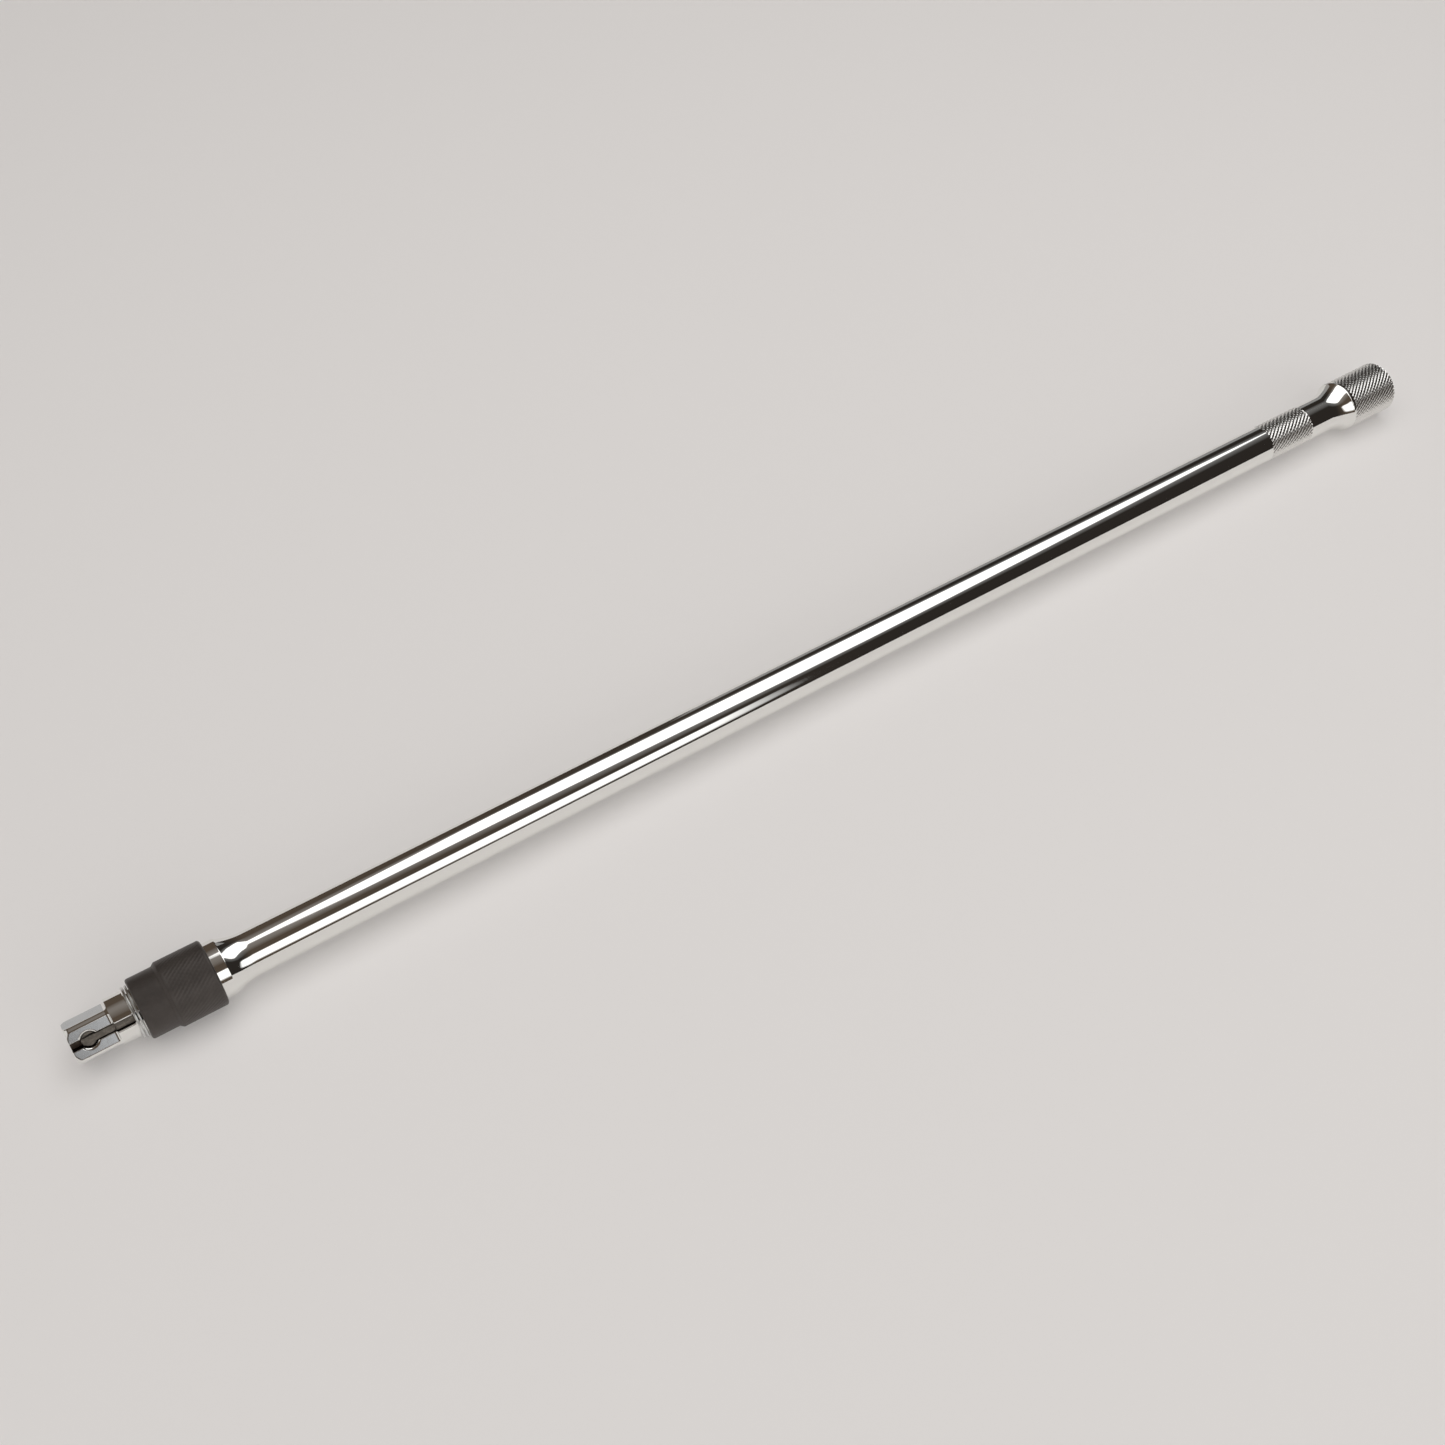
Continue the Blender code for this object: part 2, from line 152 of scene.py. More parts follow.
# a profile of (along, radius) pairs carried once round the X axis: (x, r sin a, r cos a)
def turnedGrid(profile, columns):
    angle = steps(0, 2 * math.pi, columns + 1)[:-1]
    along = np.repeat(profile[:, :1], columns, 1)
    radius = profile[:, 1:2]
    return np.stack([along, radius * np.sin(angle), radius * np.cos(angle)], -1)


# a grid of points becomes quads between neighbouring rows and columns; an open row end gets
# one flat cap, and all faces turn over if the enclosed volume comes out negative
def meshFromGrid(name, grid, material, closedRows=False, sharpAngle=28):
    rows, columns = grid.shape[:2]
    index = np.arange(rows * columns).reshape(rows, columns)
    upper = np.roll(index, -1, 0) if closedRows else index[1:]
    lower = index if closedRows else index[:-1]
    quads = np.stack([lower, np.roll(lower, -1, 1), np.roll(upper, -1, 1), upper], -1)
    quads = quads.reshape(-1, 4)
    points = grid.reshape(-1, 3)
    corner = points[quads]
    middle = points.mean(0)
    spans = np.cross(corner[:, 2] - corner[:, 0], corner[:, 3] - corner[:, 1])
    caps = [] if closedRows else [index[0][::-1], index[-1]]
    volume = ((corner.mean(1) - middle) * spans).sum()
    for cap in caps:
        centre = points[cap].mean(0)
        ring = points[cap] - centre
        volume += (np.cross(ring, np.roll(ring, -1, 0)).sum(0) * (centre - middle)).sum()
    if volume < 0:
        quads = quads[:, ::-1]
        caps = [cap[::-1] for cap in caps]
    mesh = bpy.data.meshes.new(name)
    mesh.from_pydata(points.tolist(), [], quads.tolist() + [cap.tolist() for cap in caps])
    mesh.validate()
    mesh.shade_smooth()
    mesh.set_sharp_from_angle(angle=math.radians(sharpAngle))
    mesh.materials.append(material)
    piece = bpy.data.objects.new(name, mesh)
    bpy.context.scene.collection.objects.link(piece)
    return piece


# a finished piece rides its body and stands for its CAD node, which it hides
def place(piece, body, node):
    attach(piece, body)
    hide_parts(node)
    return piece


# target minus cutter, worked out exactly and kept; the cutter is then removed
def subtract(target, cutter, sharpAngle=28):
    modifier = target.modifiers.new("cut", "BOOLEAN")
    modifier.operation = "DIFFERENCE"
    modifier.solver = "EXACT"
    modifier.object = cutter
    graph = bpy.context.evaluated_depsgraph_get()
    result = bpy.data.meshes.new_from_object(target.evaluated_get(graph))
    target.modifiers.clear()
    target.data = result
    result.shade_smooth()
    result.set_sharp_from_angle(angle=math.radians(sharpAngle))
    bpy.data.objects.remove(cutter)


# the middle of every face, in millimetres
def faceCentres(mesh):
    centres = np.empty(len(mesh.polygons) * 3)
    mesh.polygons.foreach_get("center", centres)
    return centres.reshape(-1, 3) / mm


# the drive's own axes: u points out of the pin's flat, w lies across it

driveRoll = math.radians(50.5)
pinStation = 6.16    # millimetres from the tip to the pin's centre
uAxis = np.array([0, -math.sin(driveRoll), math.cos(driveRoll)])
wAxis = np.array([0, math.cos(driveRoll), math.sin(driveRoll)])


# (along, across w, out u) to the bar's frame
def fromDrive(along, across, out):
    xAxis = np.array([1.0, 0, 0])
    return along[..., None] * xAxis + across[..., None] * wAxis + out[..., None] * uAxis


# Bright chrome plate on a polished forging: a mirror with a faint ripple of the buffed steel below
def chromeMaterial():
    looks = {
        "colour": "#f0f0ed",
        "roughness": (0.03, 0.07),
        "rippleMm": 9.0,       # length of the buffing ripple round the bar
        "rippleStretch": 0.25,  # and it is four times as long along the bar
        "rippleStrength": 0.012,
        "hazeMm": 1.6,         # patches of slightly duller plate
    }
    material, tree, shader = newMaterial(
        "chrome_plate_buffed", Base_Color=linearColour(looks["colour"]), Metallic=1.0
    )
    haze = patches(tree, looks["hazeMm"], detail=4.0, roughness=0.6)
    varyRoughness(tree, shader, haze, (0.3, 0.75), looks["roughness"])
    coords = addNode(tree, "ShaderNodeTexCoord")
    stretch = addNode(
        tree, "ShaderNodeMapping", Vector=(coords, "Object"),
        Scale=(looks["rippleStretch"], 1.0, 1.0),
    )
    ripple = addNode(
        tree, "ShaderNodeTexNoise", Vector=(stretch, "Vector"),
        Scale=1 / (looks["rippleMm"] * mm), Detail=1.0,
    )
    addRelief(tree, shader, ripple, looks["rippleStrength"], heightMm=1)
    return material


# Chrome plate over a milled square, scuffed by sockets: cloudy grey flats with fine rub marks
def milledChromeMaterial():
    looks = {"colour": "#bcc0c3", "roughness": (0.15, 0.23), "cloudMm": 3.2, "bump": 0.04}
    material, tree, shader = newMaterial(
        "chrome_plate_on_milled_square", Base_Color=linearColour(looks["colour"]), Metallic=1.0
    )
    cloud = patches(tree, looks["cloudMm"], detail=1.5, roughness=0.4, distortion=0.8)
    varyRoughness(tree, shader, cloud, (0.35, 0.65), looks["roughness"])
    addRelief(tree, shader, cloud, looks["bump"], heightMm=0.2)
    return material


# The same plate rolled into a knurl: duller, and grey overall because its valleys stay dark
def knurlChromeMaterial():
    looks = {"colour": "#e6e5e2", "roughness": (0.23, 0.27), "hazeMm": 1.2}
    material, tree, shader = newMaterial(
        "chrome_plate_on_knurl", Base_Color=linearColour(looks["colour"]), Metallic=1.0
    )
    haze = patches(tree, looks["hazeMm"], detail=3.0)
    varyRoughness(tree, shader, haze, (0.3, 0.7), looks["roughness"])
    return material


# Thin plate and oil film down in the groove and the pin's bore, darkened further as painted shade
# of the recess: dark brown-grey and soft
def grooveSteelAndShadeMaterial():
    looks = {"dark": "#2e2824", "light": "#574d45", "roughness": 0.34, "filmMm": 1.4}
    material, tree, shader = newMaterial(
        "thin_plate_and_painted_shade_in_groove", Metallic=1.0, Roughness=looks["roughness"]
    )
    film = patches(tree, looks["filmMm"], detail=2.0)
    varyColour(tree, shader, (film, "Fac"), looks["dark"], looks["light"])
    return material


# Nickel-bright stamped spring steel: satin, with a faint even grain
def ringSteelMaterial():
    looks = {"colour": "#dfe0de", "roughness": 0.30, "grainMm": 0.25, "bump": 0.10}
    material, tree, shader = newMaterial(
        "bright_ring_steel", Base_Color=linearColour(looks["colour"]), Metallic=1.0,
        Roughness=looks["roughness"],
    )
    grain = patches(tree, looks["grainMm"], detail=2.0)
    addRelief(tree, shader, grain, looks["bump"], heightMm=0.02)
    return material


# Manganese phosphate on a turned and knurled sleeve: matt warm charcoal with an oily soft sheen
def phosphateMaterial():
    looks = {
        "dark": "#3d3835",
        "light": "#514b47",
        "roughness": (0.36, 0.52),
        "grainMm": 0.22,
        "cloudMm": 3.0,
        "bump": 0.35,
    }
    material, tree, shader = newMaterial(
        "manganese_phosphate_sleeve", Metallic=0.35, Specular_IOR_Level=0.45
    )
    cloud = patches(tree, looks["cloudMm"], detail=6.0, roughness=0.65)
    varyColour(tree, shader, (cloud, "Fac"), looks["dark"], looks["light"])
    grain = patches(tree, looks["grainMm"], detail=3.0)
    varyRoughness(tree, shader, grain, (0.3, 0.7), looks["roughness"])
    addRelief(tree, shader, grain, looks["bump"], heightMm=0.03)
    return material


# Black-oxide spring steel: a thin dark film that still shines softly on worn edges
def blackOxideMaterial():
    looks = {"dark": "#76716a", "worn": "#a09a90", "roughness": 0.36, "wearMm": 0.9, "bump": 0.1}
    material, tree, shader = newMaterial(
        "black_oxide_steel", Metallic=0.8, Roughness=looks["roughness"]
    )
    wear = patches(tree, looks["wearMm"], detail=5.0, roughness=0.6)
    amount = addNode(
        tree, "ShaderNodeMapRange", Value=(wear, "Fac"), From_Min=0.45, From_Max=0.8,
        To_Min=0.0, To_Max=1.0,
    )
    varyColour(tree, shader, (amount, "Result"), looks["dark"], looks["worn"])
    addRelief(tree, shader, wear, looks["bump"], heightMm=0.05)
    return material


# Hard-drawn spring wire, oiled: grey metal with faint drawing marks
def springSteelMaterial():
    looks = {"colour": "#8d8a86", "roughness": 0.28, "markMm": 0.3, "bump": 0.2}
    material, tree, shader = newMaterial(
        "hard_drawn_spring_steel", Base_Color=linearColour(looks["colour"]), Metallic=1.0,
        Roughness=looks["roughness"],
    )
    marks = patches(tree, looks["markMm"], detail=2.0)
    addRelief(tree, shader, marks, looks["bump"], heightMm=0.02)
    return material


chrome = chromeMaterial()
milledChrome = milledChromeMaterial()
knurlChrome = knurlChromeMaterial()
grooveSteelAndShade = grooveSteelAndShadeMaterial()
ringSteel = ringSteelMaterial()
phosphate = phosphateMaterial()
blackOxide = blackOxideMaterial()
springSteel = springSteelMaterial()
print("materials ready")


driveSizes = {  # millimetres
    "halfWidth": 6.35,
    "turnedRadius": 8.35,    # the shank behind the square
    "cornerRadius": 8.2,     # the square's round corners
    "squareEnd": 13.85,
    "runOutRadius": 1.05,    # the cutter's hollow where each flat rises into the shoulder
    "tipConeRadius": 7.0,
    "tipConeSlope": 0.95,    # radius gained for each millimetre along
    "tipEdge": 0.22,
    "edgeCrispness": 70,     # higher is a sharper edge between flats and turned corners
    "grooveHalf": 1.45,
    "grooveFloor": 3.0,
    "grooveLip": 0.28,
    "grooveFillet": 0.3,
    "grooveEnd": 35.3,
    "ringGroove": (20.9, 22.4, 7.2),
    "neckStart": 44.5,
    "neckRadius": 10.3,
    "neckEnd": 53.9,
    "neckEdge": 0.10,
    "flareEnd": 63.3,
    "shaftRadius": 8.1,
    "shaftEnd": 537.0,
    "outerColumns": 300,
}


# height of the flats along the bar: level, then a hollow arc, radius - sqrt(radius^2 - run^2)
def flatHeight(along, s):
    radius = s["runOutRadius"]
    run = np.clip(along - s["squareEnd"], 0, None)
    arc = radius - np.sqrt(np.maximum(radius ** 2 - run ** 2, 0))
    return s["halfWidth"] + arc + np.clip(run - 0.98 * radius, 0, None) * 20


# outer radius at (along, angle): the soft minimum (sum of f^-k)^(-1/k) of the turned radius,
# the tip cone and the four flats h / cos(angle - flat angle)
def driveRadius(along, angle, s):
    cone = s["tipConeRadius"] + s["tipConeSlope"] * along
    power = s["edgeCrispness"]
    rise = np.clip((along - s["squareEnd"]) / s["runOutRadius"], 0, 1)
    turned = s["cornerRadius"] + (s["turnedRadius"] - s["cornerRadius"]) * rise
    total = turned ** -power + cone ** -power
    height = flatHeight(along, s)
    for quarter in range(4):
        facing = np.cos(angle - quarter * math.pi / 2)
        flat = height / np.maximum(facing, 0.05)
        total = total + np.where(facing > 0.05, flat, 1e3) ** -power
    edge = s["tipEdge"]
    drop = edge - np.sqrt(np.maximum(edge ** 2 - np.clip(edge - along, 0, edge) ** 2, 0))
    return total ** (-1 / power) - drop


# radius of the turned part behind the square: shank, ring groove, neck, hollow flare, shaft
def turnedRadiusRows(s):
    start, end, bottom = s["ringGroove"]
    shank, neck, shaft = s["turnedRadius"], s["neckRadius"], s["shaftRadius"]
    rise, run = neck - shaft, s["flareEnd"] - s["neckEnd"]
    sweep = 2 * math.atan2(rise, run)
    radius = run / math.sin(sweep)
    arc = steps(sweep, 0, 40)
    flare = np.stack(
        [s["flareEnd"] - radius * np.sin(arc), shaft + radius - radius * np.cos(arc)], 1
    )
    edge = s["neckEdge"]
    lead = steps(0, 1, 5)[:, None]
    rounded = np.array([s["neckEnd"] - edge, neck]) * (1 - lead) ** 2
    rounded = rounded + 2 * lead * (1 - lead) * np.array([s["neckEnd"], neck])
    rounded = rounded + lead ** 2 * flare[1]
    shaftStations = np.array([63.5, 66, 72, 90, 130, 200, 300, 400, 480, 520, s["shaftEnd"]])
    rows = [
        [(start, shank), (start, bottom), (end, bottom), (end, shank)],
        [(28.0, shank), (s["grooveEnd"], shank)],
        [(s["grooveEnd"] + 0.001, shank), (s["neckStart"], shank)],
        [(s["neckStart"], neck - 0.3), (s["neckStart"] + 0.3, neck), (49.0, neck), (52.0, neck),
         (53.4, neck), (53.7, neck)],
        rounded,
        flare[2:],
        np.stack([shaftStations, np.full_like(shaftStations, shaft)], 1),
    ]
    return np.concatenate([np.asarray(r, float) for r in rows])


# each row is one section: round the outside from lip to lip, then a lip arc, down one wall,
# a floor arc, across the floor and back up the other side in mirror image
def driveGrid(s):
    tip = s["tipEdge"] * (1 - np.cos(steps(0, math.pi / 2, 5)))
    alongRows = np.concatenate([
        tip, steps(0.3, 1.9, 18), steps(2.4, 13.4, 12),
        steps(13.6, s["squareEnd"] + 1.3, 42), steps(15.6, 20.7, 6),
    ])
    turnedRows = turnedRadiusRows(s)
    along = np.concatenate([alongRows, turnedRows[:, 0]])[:, None]
    isDrive = (np.arange(len(along)) < len(alongRows))[:, None]
    given = np.concatenate([np.zeros(len(alongRows)), turnedRows[:, 1]])[:, None]
    half, lip, fillet, floor = s["grooveHalf"], s["grooveLip"], s["grooveFillet"], s["grooveFloor"]
    nearTop = 0.2    # an angle just off the groove, where the flat's height is read
    flatTop = driveRadius(along, np.full_like(along, nearTop), s) * math.cos(nearTop)
    middle = np.where(isDrive, flatTop, given)
    roundness = np.clip((along - s["squareEnd"]) / s["runOutRadius"], 0, 1)
    lipAngle = np.where(
        roundness > 0.5,
        np.arcsin((half + lip) / (np.maximum(middle, 7.2) - lip)),
        np.arctan((half + lip) / np.minimum(middle, 6.35)),
    )
    around = steps(0, 1, s["outerColumns"])[None]
    angle = lipAngle + (2 * math.pi - 2 * lipAngle) * around
    radius = np.where(isDrive, driveRadius(along, angle, s), given)
    outerW, outerU = radius * np.sin(angle), radius * np.cos(angle)
    topU = outerU[:, :1]
    normalTilt = lipAngle * roundness
    lipCentreU = topU - lip * np.cos(normalTilt)
    sweep = normalTilt + (-math.pi / 2 - normalTilt) * steps(0, 1, 7)[None, 1:]
    lipW = half + lip + lip * np.sin(sweep)
    lipU = lipCentreU + lip * np.cos(sweep)
    wallU = lipCentreU + (floor + fillet - lipCentreU) * steps(0, 1, 6)[None, 1:]
    wallW = np.full_like(wallU, half)
    turn = steps(math.pi / 2, math.pi, 5)[None, 1:]
    footW = half - fillet + fillet * np.sin(turn) + 0 * along
    footU = floor + fillet + fillet * np.cos(turn) + 0 * along
    floorW = (half - fillet) * (1 - steps(0, 1, 4)[None, 1:]) + 0 * along
    floorU = np.full_like(floorW, floor)
    downW = np.concatenate([lipW, wallW, footW, floorW], 1)
    downU = np.concatenate([lipU, wallU, footU, floorU], 1)
    grooveW = np.concatenate([-downW, downW[:, -2::-1]], 1)
    grooveU = np.concatenate([downU, downU[:, -2::-1]], 1)
    count = grooveW.shape[1]
    share = steps(-1, 1, count + 2)[None, 1:-1]
    plainW = radius[:, :1] * np.sin(lipAngle * share)
    plainU = radius[:, :1] * np.cos(lipAngle * share)
    hasGroove = along <= s["grooveEnd"]
    across = np.concatenate([outerW, np.where(hasGroove, grooveW, plainW)], 1)
    out = np.concatenate([outerU, np.where(hasGroove, grooveU, plainU)], 1)
    return fromDrive(np.broadcast_to(along, across.shape) * mm, across * mm, out * mm)


# the pin's bore as a turned cutter about u: a wide bore with a rounded mouth, then the nose hole
def pinBoreCutter():
    sizes = {
        "bore": 2.72, "mouthWide": 1.0, "mouthDeep": 0.8, "seat": -4.2, "nose": 2.6,
        "face": 6.35,
    }
    sweep = steps(math.radians(12), math.radians(80), 12)
    mouth = np.stack([
        sizes["face"] - sizes["mouthDeep"] * (1 - np.sin(sweep)),
        sizes["bore"] + sizes["mouthWide"] * (1 - np.cos(sweep)),
    ], 1)
    nose, seat = sizes["nose"], sizes["seat"]
    low = np.array([[-9, nose], [seat, nose], [seat, sizes["bore"]]])
    top = np.array([[9, mouth[-1, 1]]])
    profile = np.concatenate([low, mouth, top])
    angle = steps(0, 2 * math.pi, 97)[:-1]
    radius = profile[:, 1:2]
    grid = fromDrive(
        (pinStation + radius * np.cos(angle)) * mm, radius * np.sin(angle) * mm,
        (profile[:, :1] + 0 * angle) * mm,
    )
    return meshFromGrid("pin_bore_cutter", grid, chrome)


# faces take their finish from where their centres lie: flats of the square, groove and pin bore
def makeDriveAndShaft():
    limits = {  # millimetres
        "flat": 6.33, "grooveSlack": 0.02, "grooveLow": 2.9, "grooveHigh": 7.6,
        "boreReach": 2.9, "boreDepth": 5.9, "tip": 0.01, "endSlack": 0.1,
    }
    bar = meshFromGrid("drive_and_shaft", driveGrid(driveSizes), chrome)
    subtract(bar, pinBoreCutter())
    centres = faceCentres(bar.data)
    along, out, across = centres[:, 0], centres @ uAxis, centres @ wAxis
    reach = np.maximum(np.abs(out), np.abs(across))
    onFlat = (along < driveSizes["squareEnd"]) & (reach > limits["flat"])
    fromPin = np.hypot(along - pinStation, across)
    inGroove = np.abs(across) < driveSizes["grooveHalf"] + limits["grooveSlack"]
    inGroove = inGroove & (out > limits["grooveLow"]) & (out < limits["grooveHigh"])
    inBore = (fromPin < limits["boreReach"]) & (np.abs(out) < limits["boreDepth"])
    inLength = (along > limits["tip"]) & (along < driveSizes["grooveEnd"] + limits["endSlack"])
    # groove and bore faces take the dark material: thin plate, and painted shade of the recess
    kinds = np.where((inGroove | inBore) & inLength, 2, onFlat).astype(np.int32)
    bar.data.materials.append(milledChrome)
    bar.data.materials.append(grooveSteelAndShade)
    bar.data.polygons.foreach_set("material_index", kinds)
    place(bar, "extension_bar", "extension_bar")


makeDriveAndShaft()
print("drive, shank, neck and shaft done")


# a knurl is two crossing sets of V grooves. Height 0 to 1 at (along, angle): the lower of two
# sawtooth ridges that wind opposite ways, the first one rolled only as deep as its share, with
# the crests cut flat
def knurlHeight(along, angle, teeth, pitchAlong, crest, share=0.5):
    wind = teeth * angle / (2 * math.pi)
    first = 1 - share + share * np.abs((wind + along / pitchAlong) % 1 - 0.5) * 2
    second = np.abs((wind - along / pitchAlong) % 1 - 0.5) * 2
    return np.minimum(np.minimum(first, second), crest) / crest


# faces between two stations and outside a radius take a second material
def paintFaces(piece, material, low, high, radius):
    piece.data.materials.append(material)
    centres = faceCentres(piece.data)
    outside = np.hypot(centres[:, 1], centres[:, 2]) > radius
    inBand = (centres[:, 0] > low) & (centres[:, 0] < high) & outside
    piece.data.polygons.foreach_set("material_index", inBand.astype(np.int32))


# shaft knurl, plain shaft and the flare up to the female end, in one turned surface
def makeKnurledShaft():
    sizes = {
        "start": 537.0, "knurlEnd": 561.4, "flareStart": 573.8, "flareEnd": 584.2,
        "edge": 0.5, "end": 585.0, "shaftRadius": 8.1, "endRadius": 11.18,
        # coarser than the real 1.1 mm between grooves, which is too fine to show at this distance
        "teeth": 28, "samples": 12, "pitchAlong": 2.3, "depth": 0.25, "crest": 0.82, "fade": 0.35,
        "rowsAlong": 168,
    }
    columns = sizes["teeth"] * sizes["samples"]
    knurlRows = steps(sizes["start"], sizes["knurlEnd"], sizes["rowsAlong"] + 1)
    rise = sizes["endRadius"] - sizes["shaftRadius"]
    run = sizes["flareEnd"] - sizes["flareStart"]
    slope = 2 * math.atan2(rise, run)
    hollow = (run - sizes["edge"] * math.sin(slope)) / math.sin(slope)
    lowArc, topArc = steps(0, slope, 40), steps(slope, 0, 8)
    crown = sizes["edge"]
    flare = np.concatenate([
        np.stack([sizes["flareStart"] + hollow * np.sin(lowArc),
                  sizes["shaftRadius"] + hollow * (1 - np.cos(lowArc))], 1),
        np.stack([sizes["flareEnd"] - crown * np.sin(topArc),
                  sizes["endRadius"] - crown * (1 - np.cos(topArc))], 1),
    ])
    profile = np.concatenate([
        np.stack([knurlRows, np.full_like(knurlRows, sizes["shaftRadius"])], 1),
        np.array([[sizes["knurlEnd"] + 0.01, sizes["shaftRadius"]], [568, sizes["shaftRadius"]]]),
        flare,
        np.array([[sizes["end"], sizes["endRadius"]]]),
    ])
    along = profile[:, :1]
    angle = steps(0, 2 * math.pi, columns + 1)[None, :-1]
    height = knurlHeight(
        along - sizes["start"], angle, sizes["teeth"], sizes["pitchAlong"], sizes["crest"]
    )
    inside = np.minimum(along - sizes["start"], sizes["knurlEnd"] - along)
    window = np.clip(inside / sizes["fade"], 0, 1)
    radius = profile[:, 1:2] - sizes["depth"] * window * (1 - height)
    grid = np.stack([along + 0 * angle, radius * np.sin(angle), radius * np.cos(angle)], -1) * mm
    shaft = meshFromGrid("knurled_shaft", grid, chrome, sharpAngle=60)
    low, high = sizes["start"] + 0.1, sizes["knurlEnd"] - 0.1
    paintFaces(shaft, knurlChrome, low, high, sizes["shaftRadius"] - 0.6)
    place(shaft, "extension_bar", "extension_bar")


# the female end: knurled outside, chamfered rim, tapered lead-in, square recess with a detent
# in each wall and a flat floor. Inside radius at (along, angle) is the greatest of the square
# half / cos, the lead-in cone and the far side of each detent sphere
def makeFemaleEnd():
    sizes = {
        "start": 585.0, "rim": 609.6, "radius": 11.18, "rimChamfer": 0.25, "half": 6.45,
        "floor": 592.6, "leadIn": 0.8, "innerCorner": 0.5, "detentX": 601.4,
        "detentRadius": 2.9, "detentDepth": 1.1, "teeth": 40, "samples": 12,
        "pitchAlong": 2.2, "depth": 0.25, "crest": 0.82, "fade": 0.35,    # coarse, as on the shaft
    }
    columns = sizes["teeth"] * sizes["samples"]
    angle = steps(0, 2 * math.pi, columns + 1)[None, :-1]
    chamferStart = sizes["rim"] - sizes["rimChamfer"]
    knurlRows = steps(sizes["start"], chamferStart, 141)[:, None]
    height = knurlHeight(
        knurlRows - sizes["start"], angle, sizes["teeth"], sizes["pitchAlong"], sizes["crest"]
    )
    fromEnds = np.minimum(knurlRows - sizes["start"], chamferStart - knurlRows)
    window = np.clip(fromEnds / sizes["fade"], 0, 1)
    outer = sizes["radius"] - sizes["depth"] * window * (1 - height)
    rimRows = roundedOutline(
        [(chamferStart, sizes["radius"]), (sizes["rim"], sizes["radius"] - sizes["rimChamfer"]),
         (sizes["rim"], 9.9)], [0, 0.2, 0], 6, closed=False,
    )[1:]
    fold = (angle + math.pi / 4) % (math.pi / 2) - math.pi / 4
    square = sizes["half"] / np.cos(fold)
    cornerDistance = math.sqrt(2) * sizes["half"] - (math.sqrt(2) - 1) * sizes["innerCorner"]
    rounded = cornerDistance + 0.5 * (math.pi / 4 - np.abs(fold)) ** 2 * sizes["half"]
    square = np.minimum(square, rounded)
    insideRows = np.concatenate([
        steps(sizes["rim"], sizes["rim"] - sizes["leadIn"] - 0.3, 12),
        steps(sizes["rim"] - 1.6, sizes["detentX"] + 2.5, 5),
        steps(sizes["detentX"] + 2.3, sizes["detentX"] - 2.3, 26),
        steps(sizes["detentX"] - 2.8, sizes["floor"] + 0.2, 5),
        np.array([sizes["floor"]]),
    ])[:, None]
    leadDistance = sizes["half"] + sizes["leadIn"] - (sizes["rim"] - insideRows)
    lead = np.minimum(np.maximum(leadDistance, sizes["half"]) / np.cos(fold), 9.75 + 0 * fold)
    inner = np.maximum(square, lead)
    sphereOut = sizes["half"] + sizes["detentDepth"] - sizes["detentRadius"]
    offAxis = (insideRows - sizes["detentX"]) ** 2 + (sphereOut * np.sin(fold)) ** 2
    dimple = sphereOut * np.cos(fold) + np.sqrt(np.maximum(sizes["detentRadius"] ** 2 - offAxis, 0))
    inner = np.maximum(inner, np.where(offAxis < sizes["detentRadius"] ** 2, dimple, 0))
    floorShare = np.array([0.75, 0.5, 0.25])[:, None]
    along = np.concatenate([
        knurlRows, rimRows[:, :1], insideRows, np.full((3, 1), sizes["floor"]),
    ])
    radius = np.concatenate([
        outer, rimRows[:, 1:2] + 0 * angle, inner, floorShare * inner[-1:],
    ])
    grid = np.stack([along + 0 * angle, radius * np.sin(angle), radius * np.cos(angle)], -1) * mm
    end = meshFromGrid("female_end", grid, chrome, sharpAngle=50)
    low, high = sizes["start"] + 0.1, chamferStart - 0.1
    paintFaces(end, knurlChrome, low, high, sizes["radius"] - 0.6)
    place(end, "extension_bar", "extension_bar")


makeKnurledShaft()
makeFemaleEnd()
print("knurls, flare and female end done")


# a washer section: (along, radius) corners of a flat strip, rounded by edge
def stripSection(start, thickness, inner, outer, edge):
    end = start + thickness
    corners = [(start, inner), (end, inner), (end, outer), (start, outer)]
    return roundedOutline(corners, edge, 6, closed=True)


# the section carried round the axis from one side of the gap to the other
def makeSnapRing():
    sizes = {"start": 21.2, "thickness": 0.9, "inner": 7.5, "outer": 9.2, "edge": 0.3, "gap": 3.0}
    section = stripSection(*[sizes[k] for k in ("start", "thickness", "inner", "outer", "edge")])
    halfGap = math.asin(sizes["gap"] / 2 / sizes["outer"])
    angle = steps(math.pi + halfGap, 3 * math.pi - halfGap, 241)[:, None]
    along, radius = section[None, :, 0], section[None, :, 1]
    grid = fromDrive(
        (along + 0 * angle) * mm, radius * np.sin(angle) * mm, radius * np.cos(angle) * mm
    )
    ring = meshFromGrid("snap_ring", grid, ringSteel)
    place(ring, "extension_bar", "retaining_ring")


# the section carried all the way round, closed on itself both ways
def makeWasher(name, sizes, material, body, node):
    section = stripSection(*[sizes[k] for k in ("start", "thickness", "inner", "outer", "edge")])
    grid = turnedGrid(section * mm, 240)
    washer = meshFromGrid(name, grid, material, closedRows=True)
    place(washer, body, node)


thrustWasher = {"start": 22.4, "thickness": 0.8, "inner": 8.65, "outer": 9.3, "edge": 0.3}
springWasher = {"start": 30.8, "thickness": 0.8, "inner": 8.65, "outer": 10.2, "edge": 0.2}
makeSnapRing()
makeWasher(
    "thrust_washer_ring", thrustWasher, ringSteel,
    "extension_bar", "thrust_washer",
)
makeWasher(
    "spring_seat_washer", springWasher, springSteel,
    "actuator", "spring_washer",
)
print("rings done")


